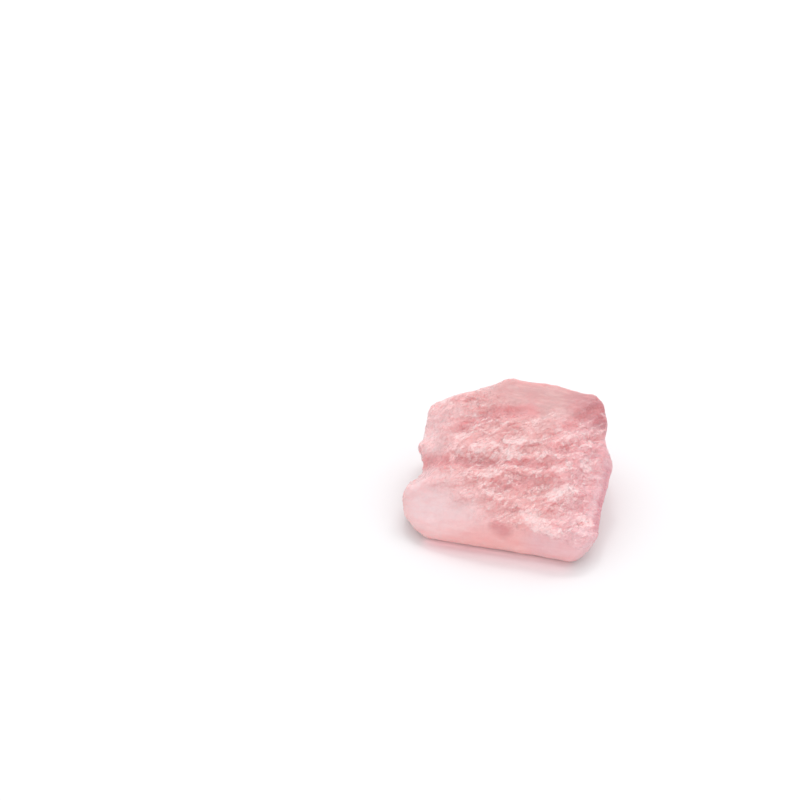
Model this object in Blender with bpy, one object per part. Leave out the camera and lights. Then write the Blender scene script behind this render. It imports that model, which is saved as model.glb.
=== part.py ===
"""A chunk of rough rose quartz, about 52 mm wide: one stone, broken on every side, lying on a flat face."""

import math

import bmesh
import bpy
from mathutils import Matrix, Vector, noise

MM = 0.001

# Driving dimensions, in millimetres
BLANK_SIZE = 120.0  # the cube that the fracture faces are cut from
HEART = Vector((0.0, 0.0, 12.0))  # the faces' distances are measured from here, the base is at z = 0
CARVING_STEP = 0.6  # length of a side of the small faces that the relief is carved in
TRIANGLES = 9200  # what the carved stone is thinned out to
WEAR_PASSES = 8  # how often the block's sharp edges are softened
REST_BAND = 0.25  # what lies this close to the base is pressed flat
FACE_BLEND = 1.1  # how far the relief of one face runs on past its edge

# Fracture faces: direction that each looks in, in degrees round from +X towards +Y and degrees up, its
# distance from the heart in millimetres, and how much of the full relief it carries
FRACTURE_FACES = {
    "rough slope": (-99, 63, 7.0, 1.0),
    "smooth top": (-68, 82, 10.7, 0.12),
    "rough shoulder": (-139, 65, 9.6, 1.0),
    "pale facet": (-123, 37, 13.4, 0.15),
    "front band": (-103.5, 3, 19.0, 0.15),
    "left lobe": (-157, 55, 12.4, 0.3),
    "right shoulder": (-50, 54, 12.0, 0.85),
    "right side": (-26, 30, 20.4, 0.25),
    "right undercut": (2, -40, 19.9, 0.25),
    "front corner": (-50, -22, 28.9, 0.2),
    "front left corner": (-138, -34, 25.7, 0.2),
    "front undercut": (-105, -55, 19.0, 0.15),
    "base": (0, -90, 12.0, 0.0),
    "left undercut": (-162, -44, 24.6, 0.3),
    "left end": (-175, 5, 25.4, 0.3),
    "left side": (165, 5, 22.5, 0.9),
    "top left chip": (118, 47, 21.1, 0.7),
    "back left": (98, 6, 20.8, 0.8),
    "back right": (76, 8, 22.3, 0.6),
    "right end": (8, 0, 26.1, 0.3),
    "back corner": (40, 6, 28.3, 0.6),
    "back undercut": (84, -44, 22.0, 0.5),
}

# Valleys and ledges: points on the surface with the depth and half width there, in millimetres
VALLEYS = {
    "notch valley": [
        ((-22.0, 11.0, 4.0), 2.2, 5.5),
        ((-23.0, 4.8, 8.6), 3.0, 6.0),
        ((-22.8, -0.6, 12.8), 3.4, 6.0),
        ((-19.0, -0.8, 15.8), 2.0, 3.8),
        ((-13.9, -2.4, 16.7), 1.3, 2.6),
        ((-6.7, -4.1, 17.3), 1.1, 2.2),
        ((2.8, -5.2, 17.5), 0.8, 2.0),
        ((10.0, -6.5, 17.4), 0.2, 1.6),
    ],
    "upper valley": [
        ((-12.0, 5.0, 20.0), 0.3, 2.0),
        ((-7.0, 8.0, 22.3), 0.8, 2.4),
        ((-1.6, 8.0, 23.7), 1.0, 2.2),
        ((4.6, 8.4, 23.6), 0.6, 2.0),
        ((9.0, 7.0, 23.2), 0.2, 1.6),
    ],
    "under the top edge": [
        ((14.3, 4.6, 22.4), 0.5, 1.8),
        ((18.0, 7.6, 22.6), 1.0, 2.0),
        ((23.6, 11.0, 22.1), 0.9, 2.0),
    ],
    "under the lilac ledge": [
        ((11.5, -2.8, 19.2), 0.4, 1.8),
        ((17.6, 1.4, 19.2), 1.0, 2.0),
        ((25.0, 5.6, 18.0), 0.9, 2.0),
    ],
    "dent in the right end": [
        ((26.0, 13.0, 9.0), 1.2, 5.0),
        ((26.0, 6.0, 13.6), 1.9, 5.5),
        ((25.0, 5.0, 18.0), 0.8, 4.0),
    ],
    "pit by the bright crest": [
        ((8.5, -10.0, 15.4), 0.5, 2.2),
        ((15.5, -7.6, 15.9), 0.8, 2.2),
    ],
}

# Relief of a rough face, in millimetres: folds, with scallops and small chips between sharp ridges
FOLD_AZIMUTH = math.radians(20.0)  # the folds run this way, from +X towards +Y
FOLD_STRETCH = 1.6  # scallops and chips are this much longer along the folds than across them
FOLD_SPACING = 5.6
FOLD_HEIGHT = 0.35
FOLD_MEAN = 0.64  # mean of a fold's height from crease to crest, when the crest is 1
FOLD_SLOPE = (0.0, 0.75, 0.65)  # across the folds, up the rough slope
FOLD_WANDER = 3.4  # how far a fold strays from a straight line
WANDER_SIZE = 7.0
SCALLOP_SIZE = 6.0
SCALLOP_DEPTH = 2.6
CHIP_SIZE = 3.0
CHIP_DEPTH = 1.1
CHIP_SHIFT = (31.0, 7.0, 3.0)  # keeps the chips' pattern clear of the scallops'
BOWL_MEAN = 0.22  # mean height inside a bowl, so that scallops and chips leave the stone's size alone
RELIEF_FROM = 3.0  # the relief fades out over this height above the base
WORN_FROM = 19.5  # the right-hand end is worn smoother, from here
WORN_TO = 24.0  # to here along X
WORN_SHARE = 0.7
SWELL_SIZE = 15.0  # slow rise and fall of the whole surface, on smooth faces too
SWELL_HEIGHT = 0.45

# Material, as the stone looks from a step away
STONE_COLOUR = (0.79, 0.45, 0.46, 1.0)
STONE_ROUGHNESS = 0.5


def clear_scene():
    for item in list(bpy.data.objects):
        bpy.data.objects.remove(item, do_unlink=True)


def looking(azimuth, elevation):
    """The unit vector that looks this way."""
    turn = math.radians(azimuth)
    rise = math.radians(elevation)
    return Vector((math.cos(turn) * math.cos(rise), math.sin(turn) * math.cos(rise), math.sin(rise)))


FACE_NORMALS = {name: looking(face[0], face[1]) for name, face in FRACTURE_FACES.items()}


def broken_block():
    """The cube with a slice broken off for each fracture face: a closed block with flat faces."""
    block = bmesh.new()
    bmesh.ops.create_cube(block, size=BLANK_SIZE, matrix=Matrix.Translation(HEART))
    for name, face in FRACTURE_FACES.items():
        normal = FACE_NORMALS[name]
        cut = bmesh.ops.bisect_plane(
            block,
            geom=block.verts[:] + block.edges[:] + block.faces[:],
            plane_co=HEART + normal * face[2],
            plane_no=normal,
            clear_outer=True,
        )
        rim = [item for item in cut["geom_cut"] if isinstance(item, bmesh.types.BMEdge)]
        bmesh.ops.contextual_create(block, geom=rim)
    bmesh.ops.recalc_face_normals(block, faces=block.faces[:])
    return block


def after_modifier(solid, kind, settings):
    """A new bmesh of the solid as it comes out of one modifier with these settings."""
    mesh = bpy.data.meshes.new("blank")
    solid.to_mesh(mesh)
    holder = bpy.data.objects.new("blank", mesh)
    bpy.context.scene.collection.objects.link(holder)
    modifier = holder.modifiers.new("modifier", kind)
    for setting, value in settings.items():
        setattr(modifier, setting, value)
    evaluated = holder.evaluated_get(bpy.context.evaluated_depsgraph_get())
    result = bmesh.new()
    result.from_mesh(evaluated.to_mesh())
    evaluated.to_mesh_clear()
    bpy.data.objects.remove(holder, do_unlink=True)
    return result


def evenly_meshed(block):
    """The same block as a mesh of small, even faces, with its edges a little worn."""
    stone = after_modifier(block, "REMESH", {"mode": "VOXEL", "voxel_size": CARVING_STEP})
    for _ in range(WEAR_PASSES):
        bmesh.ops.smooth_vert(
            stone, verts=stone.verts[:], factor=0.5, use_axis_x=True, use_axis_y=True, use_axis_z=True
        )
    return stone


def thinned_out(stone):
    """The carved stone with fewer triangles, most of them where the surface is roughest."""
    triangles = sum(len(face.verts) - 2 for face in stone.faces)
    settings = {"ratio": TRIANGLES / triangles, "use_collapse_triangulate": True}
    return after_modifier(stone, "DECIMATE", settings)


def relief_share(point):
    """How rough the stone is here: the shares of the nearest faces, blended across their edges."""
    total = 0.0
    weights = 0.0
    for name, face in FRACTURE_FACES.items():
        depth = face[2] - (point - HEART).dot(FACE_NORMALS[name])
        weight = math.exp(-max(depth, 0.0) / FACE_BLEND)
        total += weight * face[3]
        weights += weight
    worn = min(1.0, max(0.0, (point.x - WORN_FROM) / (WORN_TO - WORN_FROM)))
    return total / weights * (1.0 - WORN_SHARE * worn)


def along_folds(point):
    """The point in the folds' own directions, squeezed lengthwise so that what repeats there is long."""
    turned = Matrix.Rotation(-FOLD_AZIMUTH, 3, "Z") @ point
    return Vector((turned.x / FOLD_STRETCH, turned.y, turned.z))


def bowls(point, size):
    """Bowls side by side: 0 in the middle of each, rising to a sharp ridge where two meet."""
    nearest = noise.voronoi(point / size)[0][0]
    return nearest * nearest


def folds(point):
    """Long rounded folds between sharp creases, from 0 in a crease to 1 on a crest."""
    wander = FOLD_WANDER * noise.noise(point / WANDER_SIZE)
    across = point.dot(Vector(FOLD_SLOPE)) + wander
    return abs(math.sin(math.pi * across / FOLD_SPACING))


def rough_relief(point):
    """Height of the hackly fracture over its mean surface, in millimetres."""
    squeezed = along_folds(point)
    height = FOLD_HEIGHT * (folds(squeezed) - FOLD_MEAN)
    height += SCALLOP_DEPTH * (bowls(squeezed, SCALLOP_SIZE) - BOWL_MEAN)
    height += CHIP_DEPTH * (bowls(squeezed + Vector(CHIP_SHIFT), CHIP_SIZE) - BOWL_MEAN)
    return height


def valley_depth(point):
    """How deep the valleys and ledges cut in here, in millimetres."""
    deepest = 0.0
    for stations in VALLEYS.values():
        for (start, depth_a, width_a), (end, depth_b, width_b) in zip(stations, stations[1:]):
            start = Vector(start)
            run = Vector(end) - start
            along = min(1.0, max(0.0, (point - start).dot(run) / run.length_squared))
            depth = depth_a + (depth_b - depth_a) * along
            width = width_a + (width_b - width_a) * along
            off = (point - start - run * along).length / width
            if off < 1.0:
                deepest = max(deepest, depth * (1.0 - off * off) ** 2)
    return deepest


def press_flat(stone):
    """Moves what lies close to the base onto it, which makes the one flat face that the stone lies on."""
    for vertex in stone.verts:
        if vertex.co.z < REST_BAND:
            vertex.co.z = 0.0


def carve(stone):
    """Moves every point of the block in or out to the stone's own surface."""
    stone.normal_update()
    moves = []
    for vertex in stone.verts:
        point = vertex.co.copy()
        height = relief_share(point) * rough_relief(point)
        height += SWELL_HEIGHT * noise.noise(point / SWELL_SIZE)
        height -= valley_depth(point)
        height *= min(1.0, point.z / RELIEF_FROM)
        moves.append(point + vertex.normal * height)
    for vertex, moved in zip(stone.verts, moves):
        vertex.co = moved
    press_flat(stone)


def centred(stone):
    """Puts the middle of the stone's outline over the origin."""
    middle = Vector((0.0, 0.0, 0.0))
    for axis in (0, 1):
        places = [vertex.co[axis] for vertex in stone.verts]
        middle[axis] = (min(places) + max(places)) / 2.0
    bmesh.ops.translate(stone, verts=stone.verts[:], vec=-middle)


def stone_material():
    material = bpy.data.materials.new("rose quartz")
    material.use_nodes = True
    surface = material.node_tree.nodes["Principled BSDF"]
    surface.inputs["Base Color"].default_value = STONE_COLOUR
    surface.inputs["Roughness"].default_value = STONE_ROUGHNESS
    surface.inputs["Metallic"].default_value = 0.0
    return material


def make_stone():
    block = broken_block()
    carved = evenly_meshed(block)
    block.free()
    carve(carved)
    stone = thinned_out(carved)
    carved.free()
    press_flat(stone)
    centred(stone)
    bmesh.ops.scale(stone, verts=stone.verts[:], vec=(MM, MM, MM))
    mesh = bpy.data.meshes.new("rose_quartz_chunk")
    stone.to_mesh(mesh)
    stone.free()
    mesh.materials.append(stone_material())
    chunk = bpy.data.objects.new("rose_quartz_chunk", mesh)
    bpy.context.scene.collection.objects.link(chunk)


clear_scene()
make_stone()
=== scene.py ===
"""A chunk of rough rose quartz: its hackly surface, its milky pink material, the light and the camera."""

import math

import bpy
import numpy as np
from mathutils import Matrix, Vector, noise


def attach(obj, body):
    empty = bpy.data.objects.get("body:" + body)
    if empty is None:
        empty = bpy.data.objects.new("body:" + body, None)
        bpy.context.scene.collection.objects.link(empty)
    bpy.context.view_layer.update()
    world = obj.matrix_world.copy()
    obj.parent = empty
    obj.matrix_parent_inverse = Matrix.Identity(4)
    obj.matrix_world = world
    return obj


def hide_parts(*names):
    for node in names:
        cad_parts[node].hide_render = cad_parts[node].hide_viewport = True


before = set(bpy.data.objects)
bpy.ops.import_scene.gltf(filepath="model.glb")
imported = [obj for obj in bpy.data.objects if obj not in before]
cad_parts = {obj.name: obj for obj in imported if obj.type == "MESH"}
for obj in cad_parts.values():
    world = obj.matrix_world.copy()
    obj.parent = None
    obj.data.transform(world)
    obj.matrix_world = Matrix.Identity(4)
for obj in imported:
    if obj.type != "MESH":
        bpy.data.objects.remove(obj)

MM = 0.001
noise.seed_set(1)  # without a seed, noise_vector differs from run to run
NODE = "rose_quartz_chunk"
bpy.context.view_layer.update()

# Sizes and places below are in millimetres, in the frame that the solid's block was broken in. The solid was
# moved by this much after that, to put the middle of its outline over the origin
CENTRING = Vector((-0.14, 0.37, 0.0))
TO_THE_LIGHT = Vector((0.0, 0.3, 0.95))  # sides facing this way get a painted highlight, sides facing away painted shade
HEART = Vector((0.0, 0.0, 12.0))  # the faces' distances are measured from here
FACE_BLEND = 0.8  # how far behind a face its share and colour still reach
SURFACE_STEP = 0.29  # side of the surface's small faces
FACET_SMOOTHING = 20  # rounds

# Each face: direction it looks in (degrees round from +X towards +Y, degrees up), distance from the heart,
# share of the full relief, and its colour there: the stone's own pink, with painted shade on the smooth top,
# which is painted darker against the light from above, and painted light on the front band, which is painted
# paler against the shade at the front
FACES = {
    "rough slope": (-99, 63, 7.0, 1.0, (0.81, 0.43, 0.43)),
    # painted shade: the smooth top is painted darker against the light from above
    "smooth top": (-68, 82, 10.7, 0.06, (0.53, 0.29, 0.29)),
    "rough shoulder": (-139, 65, 9.6, 1.0, (0.74, 0.38, 0.38)),
    "pale facet": (-123, 37, 13.4, 0.12, (0.82, 0.62, 0.64)),
    # painted light: the front band is painted paler against the shade at the front
    "front band": (-103.5, 3, 19.0, 0.12, (0.87, 0.46, 0.45)),
    "left lobe": (-157, 55, 12.4, 0.3, (0.76, 0.52, 0.54)),
    "right shoulder": (-50, 54, 12.0, 0.9, (0.80, 0.42, 0.45)),
    "right side": (-26, 30, 20.4, 0.3, (0.59, 0.36, 0.41)),
    "right undercut": (2, -40, 19.9, 0.2, (0.63, 0.31, 0.32)),
    "front corner": (-50, -22, 28.9, 0.2, (0.72, 0.49, 0.51)),
    "front left corner": (-138, -34, 25.7, 0.15, (0.72, 0.41, 0.40)),
    "front undercut": (-105, -55, 19.0, 0.1, (0.70, 0.38, 0.36)),
    "base": (0, -90, 12.0, 0.0, (0.69, 0.40, 0.40)),
    "left undercut": (-162, -44, 24.6, 0.25, (0.72, 0.41, 0.40)),
    "left end": (-175, 5, 25.4, 0.25, (0.72, 0.45, 0.45)),
    "left side": (165, 5, 22.5, 0.9, (0.69, 0.41, 0.41)),
    "top left chip": (118, 47, 21.1, 0.7, (0.69, 0.41, 0.41)),
    "back left": (98, 6, 20.8, 0.8, (0.68, 0.39, 0.40)),
    "back right": (76, 8, 22.3, 0.6, (0.68, 0.39, 0.40)),
    "right end": (8, 0, 26.1, 0.25, (0.64, 0.32, 0.34)),
    "back corner": (40, 6, 28.3, 0.6, (0.66, 0.36, 0.38)),
    "back undercut": (84, -44, 22.0, 0.5, (0.68, 0.39, 0.40)),
}

# Places on the surface, each a line from one point to another with its half width and strength. A spot's two
# points are the same.

# Pale places: most are frosted, where light scatters in a crushed surface, and on the crest and the
# corner chip the glints are painted highlights
FROSTED_AND_GLINTS = {
    "fan by the notch": ((-19.9, 7.0, 16.5), (-19.0, 4.2, 15.5), 2.4, 0.9),
    "upper left corner": ((-16.8, 15.0, 20.4), (-13.6, 14.2, 21.2), 1.6, 0.9),
    "crest over the valley": ((-12.4, -0.6, 17.6), (-7.6, -2.2, 18.4), 1.9, 1.0),
    "crest above it": ((-11.8, 3.0, 19.3), (-8.4, 4.6, 20.3), 1.5, 0.9),
    "middle crest": ((-3.4, -2.6, 18.7), (2.8, -1.0, 19.6), 2.3, 1.0),
    "below the valley": ((-8.4, -6.8, 16.1), (-3.6, -6.6, 16.7), 1.7, 0.9),
    "left of the shoulder": ((12.4, -7.6, 17.2), (14.0, -6.0, 17.6), 1.3, 1.0),
    "right shoulder": ((18.6, -3.6, 15.9), (21.0, -2.6, 15.0), 1.5, 0.9),
    # painted highlight: a glint on the crest
    "painted glint on the crest": ((10.6, -13.6, 14.2), (14.8, -11.8, 14.6), 2.0, 1.9),
    "pale plate": ((4.0, -17.6, 11.9), (6.8, -20.0, 10.6), 1.9, 1.7),
    # painted highlight: a glint on the corner chip
    "painted glint on the corner chip": ((16.8, -17.4, 9.2), (19.0, -16.6, 8.8), 1.0, 1.9),
    "chip on the edge": ((8.0, -20.6, 9.8), (10.2, -21.6, 9.0), 1.4, 1.1),
    "spot in the valley": ((-13.8, -1.9, 16.3), (-13.2, -1.1, 16.7), 0.8, 1.7),
    "streak on the top": ((5.4, 4.6, 22.3), (13.2, 8.4, 23.3), 1.1, 0.8),
    "scratch on the top": ((0.6, 16.6, 24.6), (2.8, 17.0, 24.8), 0.4, 0.9),
    "lilac ledge": ((14.6, -0.6, 20.0), (22.6, 4.6, 18.9), 1.7, 1.0),
    "rim of the left lobe": ((-24.6, -4.6, 10.6), (-21.0, -1.0, 13.4), 1.0, 0.7),
}

# Valleys and creases painted deep pink: partly where clear stone shows deep pink, partly painted shade
DEEP = {
    "notch": ((-21.4, 2.6, 11.6), (-14.3, -2.3, 15.8), 2.0, 0.9),
    "valley at the left": ((-14.3, -2.3, 15.8), (-7.1, -4.2, 16.8), 1.5, 1.1),
    "valley": ((-7.1, -4.2, 16.8), (2.5, -5.3, 17.9), 1.1, 1.0),
    "valley at the right": ((2.5, -5.3, 17.9), (8.4, -6.5, 17.5), 1.3, 0.9),
    "upper valley at the left": ((-11.0, 6.0, 20.6), (-1.9, 8.1, 23.0), 1.7, 0.9),
    "upper valley": ((-1.9, 8.1, 23.0), (5.6, 8.6, 23.2), 2.0, 1.2),
    "under the top edge": ((13.9, 3.4, 22.1), (22.9, 11.5, 21.5), 1.1, 1.0),
    "under the lilac ledge": ((12.1, -3.2, 19.5), (23.9, 5.7, 17.4), 0.9, 0.9),
    "below the crests": ((-3.0, -10.5, 15.0), (6.0, -10.0, 15.8), 1.6, 0.5),
}

# Places of another colour, which comes last in each: darker or paler pink, with painted shade on the top,
# which is painted darker against the light from above, and a painted highlight beside the right strip
TINTED = {
    "right corner": ((19.6, 11.6, 23.4), (23.6, 10.4, 21.0), 4.4, 1.0, (0.46, 0.155, 0.18)),
    # painted shade: the top is painted darker against the light from above
    "top": ((0.0, 12.0, 24.3), (16.0, 12.0, 23.9), 5.0, 0.4, (0.56, 0.28, 0.28)),
    "spot on the band": ((-3.2, -18.9, 9.4), (-1.6, -19.4, 8.2), 1.9, 0.8, (0.66, 0.26, 0.27)),
    "right strip": ((24.6, -2.0, 12.0), (20.6, -18.0, 6.4), 1.8, 0.9, (0.60, 0.25, 0.30)),
    # painted highlight: a pale strip beside the right strip
    "painted highlight beside the right strip": ((22.4, -5.8, 13.4), (18.8, -17.4, 9.0), 1.1, 0.25, (0.80, 0.58, 0.63)),
    "front corner": ((8.0, -22.0, 6.5), (17.0, -22.0, 7.0), 4.5, 0.7, (0.78, 0.51, 0.55)),
}

# Fine relief of a rough face. It breaks up into flat chips, each tilted its own way, and shell-shaped bowls
FOLD_AZIMUTH = math.radians(28.0)
FOLD_STRETCH = 1.45
WARP = 0.8  # how far the pattern is pushed out of true
WARP_SIZE = 3.0
CHIPS = ((3.1, 0.09, 0.06), (1.5, 0.13, 0.05))  # size, tilt and step of the chips
SCALLOPS = ((2.2, 0.12), (1.1, 0.15), (0.62, 0.1))  # size and depth of the bowls
BOWL_MEAN = 0.3
CELL_SPREAD = 37.0  # takes the middles of neighbouring chips far enough apart to differ
FROST_CHIP = 2.2  # size of the chips that are frosted as one
SWELL = 0.12  # height of the slow swell that every face has
SWELL_SIZE = 2.4
BASE_FADE = 1.5  # the relief fades out over this height above the floor
BASE_FLAT = 0.12  # what comes out lower than this is laid on the floor

FRONT_TURN = math.radians(13.5)  # the front runs back to the left by this much

# Crests and lit sides are told against the surface smoothed by so many rounds
FINE_ROUNDS = 6
FINE_CREST = 0.08  # height of a full crest
FINE_SHARE = 0.55
BROAD_ROUNDS = 90
BROAD_CREST = 0.45
BROAD_SHARE = 0.6
CREST_LIMIT = 1.5
SMOOTH_CREST = 0.35  # share of the crests that counts on a face without relief
LIT_ROUNDS = 60
CLOUD_SIZE = 4.5

# How much each cause adds to the frosting, of which a face without relief gets only a share, to the frosting
# of any face, and to the depth of the pink. The crests and the sides that face the light are painted paler,
# as painted highlight, the hollows and the sides turned from the light deeper pink, as painted shade, and the
# valleys are partly painted shade
ROUGH_FROST_AND_HIGHLIGHT = {"everywhere": 0.18, "crest": 0.1, "chip": 0.22, "cloud": 0.1}
SMOOTH_FROST_AND_HIGHLIGHT = 0.3
ANY_FROST_AND_HIGHLIGHT = {"frosted place and glint": 0.29, "lit side": 0.5, "valley": -0.12}
DEEPENING = {"hollow": 0.12, "valley": 0.4, "chip": -0.25, "clear cloud": 0.2, "lit side": -0.9}
VALLEY_TINT = 0.65  # share of the valleys' pink, partly painted shade, where they are strongest

# Patterns too fine for the mesh, which are only in the material
WIDE_CHIPS = (1.1, 0.22)  # size and tilt
NARROW_CHIPS = (0.55, 0.3)
RIDGES = ((0.75, 0.11, 0.6), (1.5, 0.13, 0.4))  # how many a millimetre, half width and share
RIB_SPACING = 1.3
BAND_WIDTH = 0.314  # of the wave texture at scale 1
CREASE_WIDTH = 0.13
LIT_EDGE_WIDTH = 0.16
LIT_EDGE_SHIFT = (0.0, -0.3, -0.1)  # the painted highlight on a crease's lit edge is this far behind and above it
WHOLE = (0.0, 1.0)

# What each pattern adds to the frosting of a rough face, where the pattern is lowest and highest. The lit
# edge adds a painted highlight above each crease
FROST_AND_HIGHLIGHT_SWINGS = {
    "ridge": (-0.1, 0.2),
    "rib": (-0.16, 0.16),
    "wide number": (-0.18, 0.18),
    "narrow number": (-0.12, 0.12),
    "lit edge": (0.0, 0.35),
}

# What each pattern adds to the height of a rough face, in millimetres
HEIGHTS = {
    "wide height": 1.0,
    "narrow height": 1.0,
    "ridge": 0.1,
    "rib": 0.1,
    "grain": 0.06,
    "crease": -0.04,
}
SMOOTH_GRAIN = 0.008  # height of the grain on any face

# Colours, linear
# deeper pink of clear stone, also used as painted shade
DEEP_PINK = (0.79, 0.30, 0.31)
# pink of the valleys, partly painted shade
VALLEY_PINK_AND_SHADE = (0.64, 0.25, 0.27)
# pale pink of frost, also of the painted highlights
FROST_AND_HIGHLIGHT_PINK = (1.0, 0.75, 0.75)
# painted shade in the creases between small chips
CREASE_SHADE = (0.62, 0.28, 0.30)
WHITE = (1.0, 1.0, 1.0)
TABLE_WHITE = (0.81, 0.81, 0.825)
TENT_WHITE = (1.0, 0.99, 0.985)
PINK_LIGHT = (1.0, 0.2, 0.3)
PALE_PINK_LIGHT = (1.0, 0.55, 0.58)


def looking(azimuth, elevation):
    """The unit vector that looks this way."""
    turn = math.radians(azimuth)
    rise = math.radians(elevation)
    return Vector((math.cos(turn) * math.cos(rise), math.sin(turn) * math.cos(rise), math.sin(rise)))


def even_surface():
    """A copy of the solid's surface in small even faces, with the solid's flat facets smoothed away."""
    piece = bpy.data.objects.new("chunk_surface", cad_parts[NODE].data.copy())
    bpy.context.scene.collection.objects.link(piece)
    remesh = piece.modifiers.new("even faces", "REMESH")
    remesh.mode = "VOXEL"
    remesh.voxel_size = SURFACE_STEP * MM
    smooth = piece.modifiers.new("no facets", "SMOOTH")
    smooth.factor = 0.5
    smooth.iterations = FACET_SMOOTHING
    evaluated = piece.evaluated_get(bpy.context.evaluated_depsgraph_get())
    mesh = bpy.data.meshes.new_from_object(evaluated)
    piece.modifiers.clear()
    piece.data = mesh
    mesh.materials.clear()
    return piece


def points_of(mesh):
    """The mesh's points in millimetres in the block's frame, one row each."""
    points = np.empty(len(mesh.vertices) * 3)
    mesh.vertices.foreach_get("co", points)
    return points.reshape(-1, 3) / MM - np.array(CENTRING)


def normals_of(mesh):
    normals = np.empty(len(mesh.vertices) * 3)
    mesh.vertices.foreach_get("normal", normals)
    return normals.reshape(-1, 3)


def face_weights(points):
    """How much each of the stone's faces counts at each point, near its edges and on it."""
    weights = []
    for azimuth, elevation, distance, *_ in FACES.values():
        depth = distance - (points - np.array(HEART)) @ np.array(looking(azimuth, elevation))
        weights.append(np.exp(-np.maximum(depth, 0.0) / FACE_BLEND))
    weights = np.array(weights)
    return weights / weights.sum(axis=0)


def along_folds(point):
    """The point in the folds' own directions, squeezed lengthwise so that what repeats there is long."""
    turned = Matrix.Rotation(-FOLD_AZIMUTH, 3, "Z") @ point
    return Vector((turned.x / FOLD_STRETCH, turned.y, turned.z))


def bowls(point, size):
    """Bowls side by side: 0 in the middle of each, rising to a sharp ridge where two meet."""
    nearest = noise.voronoi(point / size)[0][0]
    return nearest * nearest


def chips(point, size, tilt, step):
    """Height of flat chips side by side, each tilted and raised its own way."""
    middle = noise.voronoi(point / size)[1][0]
    lean = 2.0 * noise.cell_vector(middle * CELL_SPREAD) - Vector((1.0, 1.0, 1.0))
    return size * tilt * lean.dot(point / size - middle) + step * noise.cell(middle * CELL_SPREAD)


def broken(point):
    """The point pushed out of true and squeezed along the folds, where the pattern of chips is read."""
    return along_folds(point + WARP * noise.noise_vector(point / WARP_SIZE))


def hackle(point):
    """Height of the fine relief of a rough face, in millimetres."""
    squeezed = broken(point)
    height = 0.0
    for number, (size, tilt, step) in enumerate(CHIPS):
        height += chips(squeezed + Vector((17.0 * number, 0.0, 0.0)), size, tilt, step)
    for number, (size, depth) in enumerate(SCALLOPS):
        height += depth * (bowls(squeezed + Vector((0.0, 11.0 * number, 0.0)), size) - BOWL_MEAN)
    return height


def chip_frost(point):
    """How frosted the chip is that the point is on, from -1 to 1."""
    squeezed = broken(point)
    wide = noise.cell(noise.voronoi(squeezed / FROST_CHIP)[1][0] * CELL_SPREAD)
    narrow = noise.cell(noise.voronoi(squeezed / (0.4 * FROST_CHIP))[1][0] * CELL_SPREAD)
    return 0.6 * wide + 0.4 * narrow


def near(points, start, end, half_width):
    """1 by the line from start to end, falling from half its half width to 0 at one and a half times it."""
    start = np.array(start)
    run = np.array(end) - start
    along = np.clip((points - start) @ run / max(run @ run, 1e-9), 0.0, 1.0)
    off = np.linalg.norm(points - start - along[:, None] * run, axis=1) / half_width
    return np.clip(1.5 - off, 0.0, 1.0)


def strongest(points, places):
    """Strength at each point of the strongest of these places."""
    strengths = [place[3] * near(points, *place[:3]) for place in places.values()]
    return np.max(strengths, axis=0)


def links_of(mesh):
    """The mesh's edges as pairs of points, and how many edges meet at each point."""
    edges = np.empty(len(mesh.edges) * 2, dtype=np.int64)
    mesh.edges.foreach_get("vertices", edges)
    return edges.reshape(-1, 2), np.bincount(edges, minlength=len(mesh.vertices))


def neighbour_means(values, links, rounds):
    """The values after each point has been pulled towards its neighbours this many times."""
    edges, degrees = links
    for _ in range(rounds):
        total = np.empty_like(values)
        for axis in range(values.shape[1]):
            column = values[:, axis]
            there = np.bincount(edges[:, 0], column[edges[:, 1]], len(column))
            back = np.bincount(edges[:, 1], column[edges[:, 0]], len(column))
            total[:, axis] = there + back
        values = 0.5 * values + 0.5 * total / degrees[:, None]
    return values


def standing_proud(points, normals, links, rounds):
    """How far each point stands out of the surface smoothed this many times, in millimetres."""
    return np.einsum("ij,ij->i", points - neighbour_means(points, links, rounds), normals)


def lit_side(normals, links, rounds):
    """How much more each point faces the light than the surface around it does."""
    around = neighbour_means(normals, links, rounds)
    around /= np.linalg.norm(around, axis=1)[:, None]
    return (normals - around) @ np.array(TO_THE_LIGHT)


def store(mesh, name, values):
    attribute = mesh.attributes.new(name, "FLOAT", "POINT")
    attribute.data.foreach_set("value", values.astype(np.float32))


def store_colour(mesh, name, colours):
    attribute = mesh.color_attributes.new(name, "FLOAT_COLOR", "POINT")
    solid = np.ones((len(colours), 4), dtype=np.float32)
    solid[:, :3] = colours
    attribute.data.foreach_set("color", solid.ravel())


def carve(mesh):
    """Carves the fine relief, lays the base on the floor, and gives each point's share of the relief."""
    points = points_of(mesh)
    normals = normals_of(mesh)
    shares = np.array([face[3] for face in FACES.values()]) @ face_weights(points)
    heights = np.array([hackle(Vector(point)) for point in points])
    swell = np.array([noise.noise(Vector(point) / SWELL_SIZE) for point in points])
    heights = heights * shares + SWELL * swell
    heights *= np.clip(points[:, 2] / BASE_FADE, 0.0, 1.0)
    points = points + normals * heights[:, None]
    points[:, 2] = np.where(points[:, 2] < BASE_FLAT, 0.0, points[:, 2])
    mesh.vertices.foreach_set("co", ((points + np.array(CENTRING)) * MM).ravel())
    mesh.update()
    return shares


def toned(colours, share, tint):
    """The colours with this share of the tint mixed in at each point."""
    share = share[:, None]
    return colours * (1.0 - share) + np.array(tint) * share


def colours_with_painted_light(points, valleys):
    """The colour at each point, from its faces, its valleys and its tinted places: the stone's pink, with
    painted light and shade in some of them.
    """
    tints = np.array([face[4] for face in FACES.values()])
    body = (tints.T @ face_weights(points)).T
    body = toned(body, VALLEY_TINT * np.minimum(valleys, 1.0), VALLEY_PINK_AND_SHADE)
    for start, end, half_width, strength, tint in TINTED.values():
        body = toned(body, strength * near(points, start, end, half_width), tint)
    return body


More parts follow.
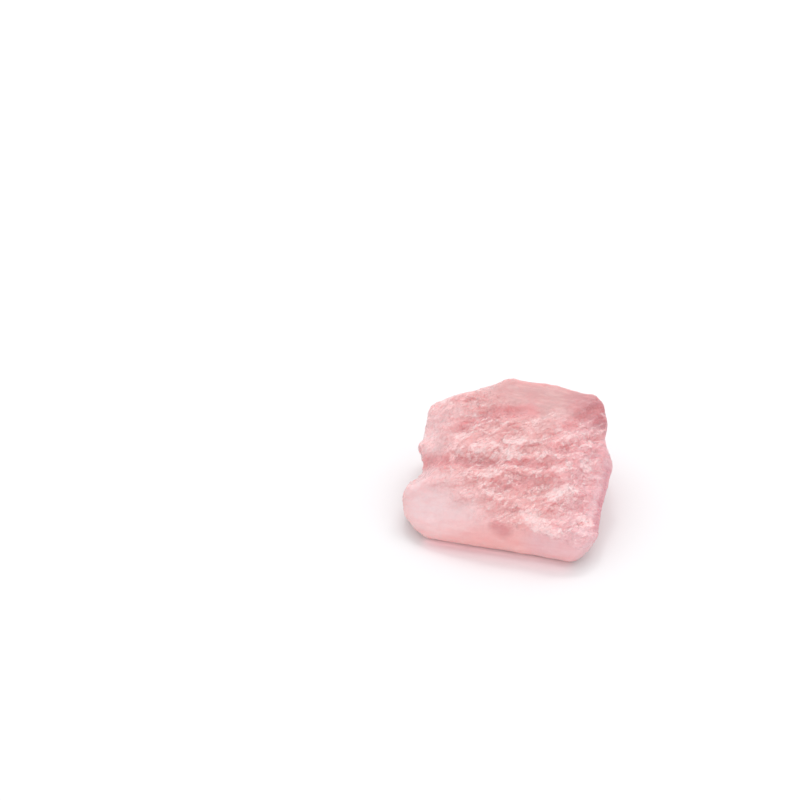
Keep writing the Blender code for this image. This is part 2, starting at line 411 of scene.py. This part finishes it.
def causes_of(mesh, points, shares):
    """What makes the stone paler or deeper pink, by name, with how much of it there is at each point: frost,
    clear stone and valleys, painted highlight on crests and lit sides, and painted shade in hollows and on
    sides turned from the light.
    """
    normals = normals_of(mesh)
    links = links_of(mesh)
    fine = standing_proud(points, normals, links, FINE_ROUNDS) / FINE_CREST
    broad = standing_proud(points, normals, links, BROAD_ROUNDS) / BROAD_CREST
    crest = np.clip(FINE_SHARE * fine + BROAD_SHARE * broad, -CREST_LIMIT, CREST_LIMIT)
    crest *= SMOOTH_CREST + (1.0 - SMOOTH_CREST) * shares
    cloud = np.array([noise.fractal(Vector(point) / CLOUD_SIZE, 0.9, 2.0, 3) for point in points])
    return {
        "everywhere": np.ones(len(points)),
        # painted highlight on the crests and painted shade in the hollows
        "crest": crest,
        "hollow": np.maximum(-crest, 0.0),
        "chip": np.array([chip_frost(Vector(point)) for point in points]) * shares,
        "cloud": cloud,
        "clear cloud": np.maximum(-cloud, 0.0),
        # painted highlight on sides that face the light, painted shade on sides turned from it
        "lit side": lit_side(normals, links, LIT_ROUNDS) * shares,
        "valley": strongest(points, DEEP),
        "frosted place and glint": strongest(points, FROSTED_AND_GLINTS),
    }


def weighed(causes, weights):
    """The sum of the causes that have a weight, each times its weight."""
    return sum(weight * causes[name] for name, weight in weights.items())


def paint(mesh, shares):
    """Stores what the material needs at each point: body colour with painted light and shade in places,
    frosting with painted highlights, depth of pink with painted shade, and roughness.
    """
    points = points_of(mesh)
    causes = causes_of(mesh, points, shares)
    frost_and_highlight = weighed(causes, ROUGH_FROST_AND_HIGHLIGHT) * (SMOOTH_FROST_AND_HIGHLIGHT + (1.0 - SMOOTH_FROST_AND_HIGHLIGHT) * shares)
    frost_and_highlight += weighed(causes, ANY_FROST_AND_HIGHLIGHT)
    store_colour(mesh, "body", colours_with_painted_light(points, causes["valley"]))
    store(mesh, "frost_and_highlight", np.clip(frost_and_highlight, 0.0, 1.0))
    store(mesh, "deep", np.clip(weighed(causes, DEEPENING), 0.0, 1.0))
    store(mesh, "hackle", shares)


def make_surface():
    piece = even_surface()
    paint(piece.data, carve(piece.data))
    piece.data.polygons.foreach_set("use_smooth", np.ones(len(piece.data.polygons), dtype=bool))
    piece.data.materials.append(quartz_material())
    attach(piece, "root")
    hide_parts(NODE)


def add_node(tree, kind, values=None, **settings):
    """A new shader node with these settings, and these values or links on its inputs."""
    node = tree.nodes.new(kind)
    for name, setting in settings.items():
        setattr(node, name, setting)
    for key, value in (values or {}).items():
        if isinstance(value, bpy.types.NodeSocket):
            tree.links.new(value, node.inputs[key])
        else:
            node.inputs[key].default_value = value
    return node


def mixed(tree, share, first, second):
    """Colour that goes from the first to the second as the share goes from 0 to 1."""
    values = {0: share, 6: first, 7: second}
    return add_node(tree, "ShaderNodeMix", values, data_type="RGBA").outputs[2]


def calculated(tree, operation, *values):
    return add_node(tree, "ShaderNodeMath", dict(enumerate(values)), operation=operation).outputs["Value"]


def product(tree, first, second):
    return calculated(tree, "MULTIPLY", first, second)


def summed(tree, first, *others):
    total = first
    for other in others:
        total = calculated(tree, "ADD", total, other)
    return total


def vectors(tree, operation, values):
    return add_node(tree, "ShaderNodeVectorMath", values, operation=operation).outputs["Vector"]


def turned(tree, place, angle):
    values = {"Vector": place, "Angle": angle}
    return add_node(tree, "ShaderNodeVectorRotate", values, rotation_type="Z_AXIS").outputs["Vector"]


def between(tree, value, from_range, to_range):
    """The value taken from one range to another, and held there."""
    values = {"Value": value, "From Min": from_range[0], "From Max": from_range[1]}
    values.update({"To Min": to_range[0], "To Max": to_range[1]})
    return add_node(tree, "ShaderNodeMapRange", values).outputs["Result"]


def attribute(tree, name, output):
    return add_node(tree, "ShaderNodeAttribute", attribute_name=name).outputs[output]


def folded_place(tree, place):
    """The place in the folds' own directions, squeezed lengthwise."""
    squeeze = (1.0 / FOLD_STRETCH, 1.0, 1.0)
    return vectors(tree, "MULTIPLY", {0: turned(tree, place, -FOLD_AZIMUTH), 1: squeeze})


def fine_noise(tree, place, scale):
    values = {"Vector": place, "Scale": scale, "Detail": 3.0, "Roughness": 0.6}
    return add_node(tree, "ShaderNodeTexNoise", values).outputs["Fac"]


def streaks(tree, place, stretch, scale):
    """Faint streaks that run along the stone's front, this many times longer than they are wide."""
    squeezed = vectors(tree, "MULTIPLY", {0: turned(tree, place, FRONT_TURN), 1: (1.0 / stretch, 1.0, 1.0)})
    return fine_noise(tree, squeezed, scale)


def ridge_lines(tree, place, scale, width):
    """Curling lines: 1 along the middle of each, falling to 0 beside it."""
    values = {"Vector": place, "Scale": scale, "Detail": 2.0, "Roughness": 0.55, "Distortion": 0.6}
    field = add_node(tree, "ShaderNodeTexNoise", values).outputs["Fac"]
    off = calculated(tree, "ABSOLUTE", calculated(tree, "SUBTRACT", field, 0.5))
    return between(tree, off, (0.0, width), (1.0, 0.0))


def ribs(tree, place, spacing):
    """Curling ribs side by side, each rising from 0 to 1 and then falling off sharply."""
    values = {"Vector": place, "Scale": BAND_WIDTH / spacing, "Distortion": 8.0}
    values.update({"Detail": 2.0, "Detail Scale": 1.4})
    settings = {"wave_type": "BANDS", "bands_direction": "Y", "wave_profile": "SAW"}
    return add_node(tree, "ShaderNodeTexWave", values, **settings).outputs["Fac"]


def pushed_about(tree, place, size):
    """The place pushed about, so that cells of this size get ragged borders."""
    values = {"Vector": place, "Scale": 0.7 / size, "Detail": 2.0}
    push = add_node(tree, "ShaderNodeTexNoise", values).outputs["Color"]
    return vectors(tree, "ADD", {0: place, 1: vectors(tree, "SCALE", {0: push, "Scale": 1.7 * size})})


def chip_edges(tree, place, size, width):
    """1 on the borders between chips of this size, falling to 0 beside them."""
    values = {"Vector": pushed_about(tree, place, size), "Scale": 1.0 / size}
    away = add_node(tree, "ShaderNodeTexVoronoi", values, feature="DISTANCE_TO_EDGE").outputs["Distance"]
    return between(tree, away, (0.0, width), (1.0, 0.0))


def small_chips(tree, place, size, tilt):
    """Chips too small for the mesh: their height in millimetres, each tilted its own way, and its number."""
    pushed = pushed_about(tree, place, size)
    cells = add_node(tree, "ShaderNodeTexVoronoi", {"Vector": pushed, "Scale": 1.0 / size})
    lean = vectors(tree, "SUBTRACT", {0: cells.outputs["Color"], 1: (0.5, 0.5, 0.5)})
    off = vectors(tree, "SUBTRACT", {0: pushed, 1: cells.outputs["Position"]})
    height = add_node(tree, "ShaderNodeVectorMath", {0: lean, 1: off}, operation="DOT_PRODUCT")
    number = add_node(tree, "ShaderNodeSeparateColor", {"Color": cells.outputs["Color"]}).outputs["Red"]
    return product(tree, height.outputs["Value"], 2.0 * tilt), number


def opaque(colour):
    return (*colour, 1.0)


def fine_patterns(tree, place, rough):
    """Patterns too fine for the mesh, by name: chips' heights in millimetres, and the rest from 0 to 1."""
    folded = folded_place(tree, place)
    found = {"grain": fine_noise(tree, place, 2.2), "rib": ribs(tree, folded, RIB_SPACING)}
    ridges = [product(tree, ridge_lines(tree, folded, scale, width), share) for scale, width, share in RIDGES]
    found["ridge"] = summed(tree, *ridges)
    found["wide height"], found["wide number"] = small_chips(tree, folded, *WIDE_CHIPS)
    found["narrow height"], found["narrow number"] = small_chips(tree, folded, *NARROW_CHIPS)
    some = between(tree, fine_noise(tree, folded, 0.4), (0.42, 0.58), WHOLE)
    crease = chip_edges(tree, folded, WIDE_CHIPS[0], CREASE_WIDTH)
    found["crease"] = product(tree, product(tree, crease, some), rough)
    behind = vectors(tree, "ADD", {0: folded, 1: LIT_EDGE_SHIFT})
    found["lit edge"] = product(tree, chip_edges(tree, behind, WIDE_CHIPS[0], LIT_EDGE_WIDTH), some)
    return found


def frosting_and_highlights(tree, found, frost_and_highlight, rough):
    """How pale the stone is: the stored frost with its painted highlights, broken up by the fine patterns
    where the face is rough, which add painted highlights on the creases' lit edges.
    """
    swings = [between(tree, found[name], WHOLE, swing) for name, swing in FROST_AND_HIGHLIGHT_SWINGS.items()]
    scatter = summed(tree, frost_and_highlight, product(tree, summed(tree, *swings), rough))
    soft = between(tree, scatter, (0.0, 0.9), (0.0, 0.4))
    sharp = between(tree, scatter, (0.4, 0.52), (0.0, 0.36))
    return summed(tree, soft, sharp)


def relief(tree, found, rough):
    """The normal of the surface with the fine patterns raised on it."""
    heights = [product(tree, found[name], scale) for name, scale in HEIGHTS.items()]
    on_rough = product(tree, summed(tree, *heights), rough)
    height = summed(tree, on_rough, product(tree, found["grain"], SMOOTH_GRAIN))
    return add_node(tree, "ShaderNodeBump", {"Height": height, "Distance": MM}).outputs["Normal"]


def quartz_material():
    material = bpy.data.materials.new("rose quartz")
    material.use_nodes = True
    tree = material.node_tree
    metres = add_node(tree, "ShaderNodeTexCoord").outputs["Object"]
    place = vectors(tree, "SCALE", {0: metres, "Scale": 1.0 / MM})
    rough = attribute(tree, "hackle", "Fac")
    found = fine_patterns(tree, place, rough)

    # Smooth faces have faint streaks of deeper pink and of frost
    smooth = between(tree, rough, (0.1, 0.5), (1.0, 0.0))
    streak = between(tree, streaks(tree, place, 10.0, 0.8), (0.45, 0.72), (0.0, 0.28))
    veil = between(tree, streaks(tree, place, 3.0, 0.8), (0.45, 0.7), (-0.03, 0.13))
    deep = summed(tree, attribute(tree, "deep", "Fac"), product(tree, streak, smooth))
    frost_and_highlight_share = frosting_and_highlights(tree, found, attribute(tree, "frost_and_highlight", "Fac"), rough)
    frost_and_highlight_share = summed(tree, frost_and_highlight_share, product(tree, veil, smooth))

    # Deeper pink where the stone is clear, and painted shade in valleys, hollows and on sides turned from the
    # light
    pink = mixed(tree, product(tree, deep, 0.85), attribute(tree, "body", "Color"), opaque(DEEP_PINK))
    # Paler where the stone is frosted, and painted highlights on crests, lit sides, lit edges and glints
    colour = mixed(tree, frost_and_highlight_share, pink, opaque(FROST_AND_HIGHLIGHT_PINK))
    # Creases between small chips painted darker, as shade under each step
    colour = mixed(tree, product(tree, found["crease"], 0.5), colour, opaque(CREASE_SHADE))

    # Some of the small chips are shiny
    shiny = product(tree, between(tree, found["narrow number"], (0.45, 0.6), WHOLE), rough)
    settings = {
        "Base Color": colour,
        "Roughness": between(tree, shiny, WHOLE, (0.36, 0.14)),
        "Normal": relief(tree, found, rough),
        "IOR": 1.544,
        "Subsurface Weight": 0.6,
        "Subsurface Radius": (1.0, 0.3, 0.3),
        "Subsurface Scale": 5.0 * MM,
    }
    set_surface(material, settings)
    return material


def set_surface(material, settings):
    """Puts these values and links on the inputs of the material's surface."""
    surface = material.node_tree.nodes["Principled BSDF"]
    for name, value in settings.items():
        if isinstance(value, bpy.types.NodeSocket):
            material.node_tree.links.new(value, surface.inputs[name])
        else:
            surface.inputs[name].default_value = value


FLOOR_REACH = 3.0  # in metres, from the stone to each side


def floor():
    corners = [(-FLOOR_REACH, -FLOOR_REACH, 0.0), (FLOOR_REACH, -FLOOR_REACH, 0.0)]
    corners += [(FLOOR_REACH, FLOOR_REACH, 0.0), (-FLOOR_REACH, FLOOR_REACH, 0.0)]
    mesh = bpy.data.meshes.new("floor")
    mesh.from_pydata(corners, [], [(0, 1, 2, 3)])
    plane = bpy.data.objects.new("floor", mesh)
    bpy.context.scene.collection.objects.link(plane)
    material = bpy.data.materials.new("white table")
    material.use_nodes = True
    set_surface(material, {"Base Color": opaque(TABLE_WHITE), "Roughness": 0.9, "Specular IOR Level": 0.1})
    mesh.materials.append(material)


TENT_STRENGTH = (0.98, 1.27)  # at the viewer's side and at the back


def white_tent():
    world = bpy.data.worlds.new("white tent")
    world.use_nodes = True
    tree = world.node_tree
    background = tree.nodes["Background"]
    background.inputs["Color"].default_value = opaque(TENT_WHITE)
    direction = add_node(tree, "ShaderNodeTexCoord").outputs["Generated"]
    backwards = add_node(tree, "ShaderNodeSeparateXYZ", {"Vector": direction}).outputs["Y"]
    tree.links.new(between(tree, backwards, (-1.0, 1.0), TENT_STRENGTH), background.inputs["Strength"])
    bpy.context.scene.world = world


# Windows, square and aimed at the middle of the stone: place and size in metres, and power in watts
WINDOWS = {
    "window above": ((-0.05, 0.32, 0.75), 0.14, 0.7),
    "window at the back": ((0.20, 0.30, 0.60), 0.22, 0.55),
}
AIM = Vector((0.0, 0.0, 0.01))

# Light that comes through the stone into the shadow at its front, from strips as long as the front. Each has
# its place in the block's frame, its width, how far it leans forward in degrees from looking straight down,
# its power in watts and its colour.
GLOWS = {
    "glow under the front edge": ((-2.9, -18.2, 1.2), 4.0, 12.0, 0.0001, PINK_LIGHT),
    "glow before the front edge": ((-3.4, -21.4, 3.2), 5.0, 45.0, 0.00008, PINK_LIGHT),
    "glow in the crevice": ((-2.9, -17.2, 0.6), 1.4, -20.0, 0.00004, PALE_PINK_LIGHT),
}
GLOW_LENGTH = 36.0


def area_light(name, length, width, power, colour):
    """An area light of this size in metres, which still has to be placed and turned."""
    light = bpy.data.lights.new(name, "AREA")
    light.shape = "RECTANGLE"
    light.size = length
    light.size_y = width
    light.energy = power
    light.color = colour
    holder = bpy.data.objects.new(name, light)
    bpy.context.scene.collection.objects.link(holder)
    return holder


def windows():
    for name, (place, size, power) in WINDOWS.items():
        holder = area_light(name, size, size, power, WHITE)
        holder.location = place
        holder.rotation_euler = (AIM - Vector(place)).to_track_quat("-Z", "Y").to_euler()


def glows():
    for name, (place, width, lean, power, colour) in GLOWS.items():
        holder = area_light(name, GLOW_LENGTH * MM, width * MM, power, colour)
        holder.location = (Vector(place) + CENTRING) * MM
        holder.rotation_euler = (math.radians(-lean), 0.0, -FRONT_TURN)
        holder.visible_camera = False
        holder.visible_glossy = False


# The camera as the photograph has it: 35 degrees above the table, aimed at a point left of and behind the
# stone, which lies low and to the right in the picture
LENS = 85.0
SENSOR = 36.0
LOOK_AT = Vector((-26.37, 46.95, 0.0))
LOOK_FROM = -90.0
LOOK_DOWN = 35.0
DISTANCE = 507.0


def camera():
    data = bpy.data.cameras.new("camera")
    data.lens = LENS
    data.sensor_width = SENSOR
    data.clip_start = 0.01
    holder = bpy.data.objects.new("camera", data)
    holder.location = (LOOK_AT + looking(LOOK_FROM, LOOK_DOWN) * DISTANCE) * MM
    holder.rotation_euler = (math.radians(90.0 - LOOK_DOWN), 0.0, 0.0)
    bpy.context.scene.collection.objects.link(holder)
    bpy.context.scene.camera = holder


camera()
floor()
white_tent()
windows()
glows()
make_surface()
bpy.context.scene.view_settings.view_transform = "Standard"
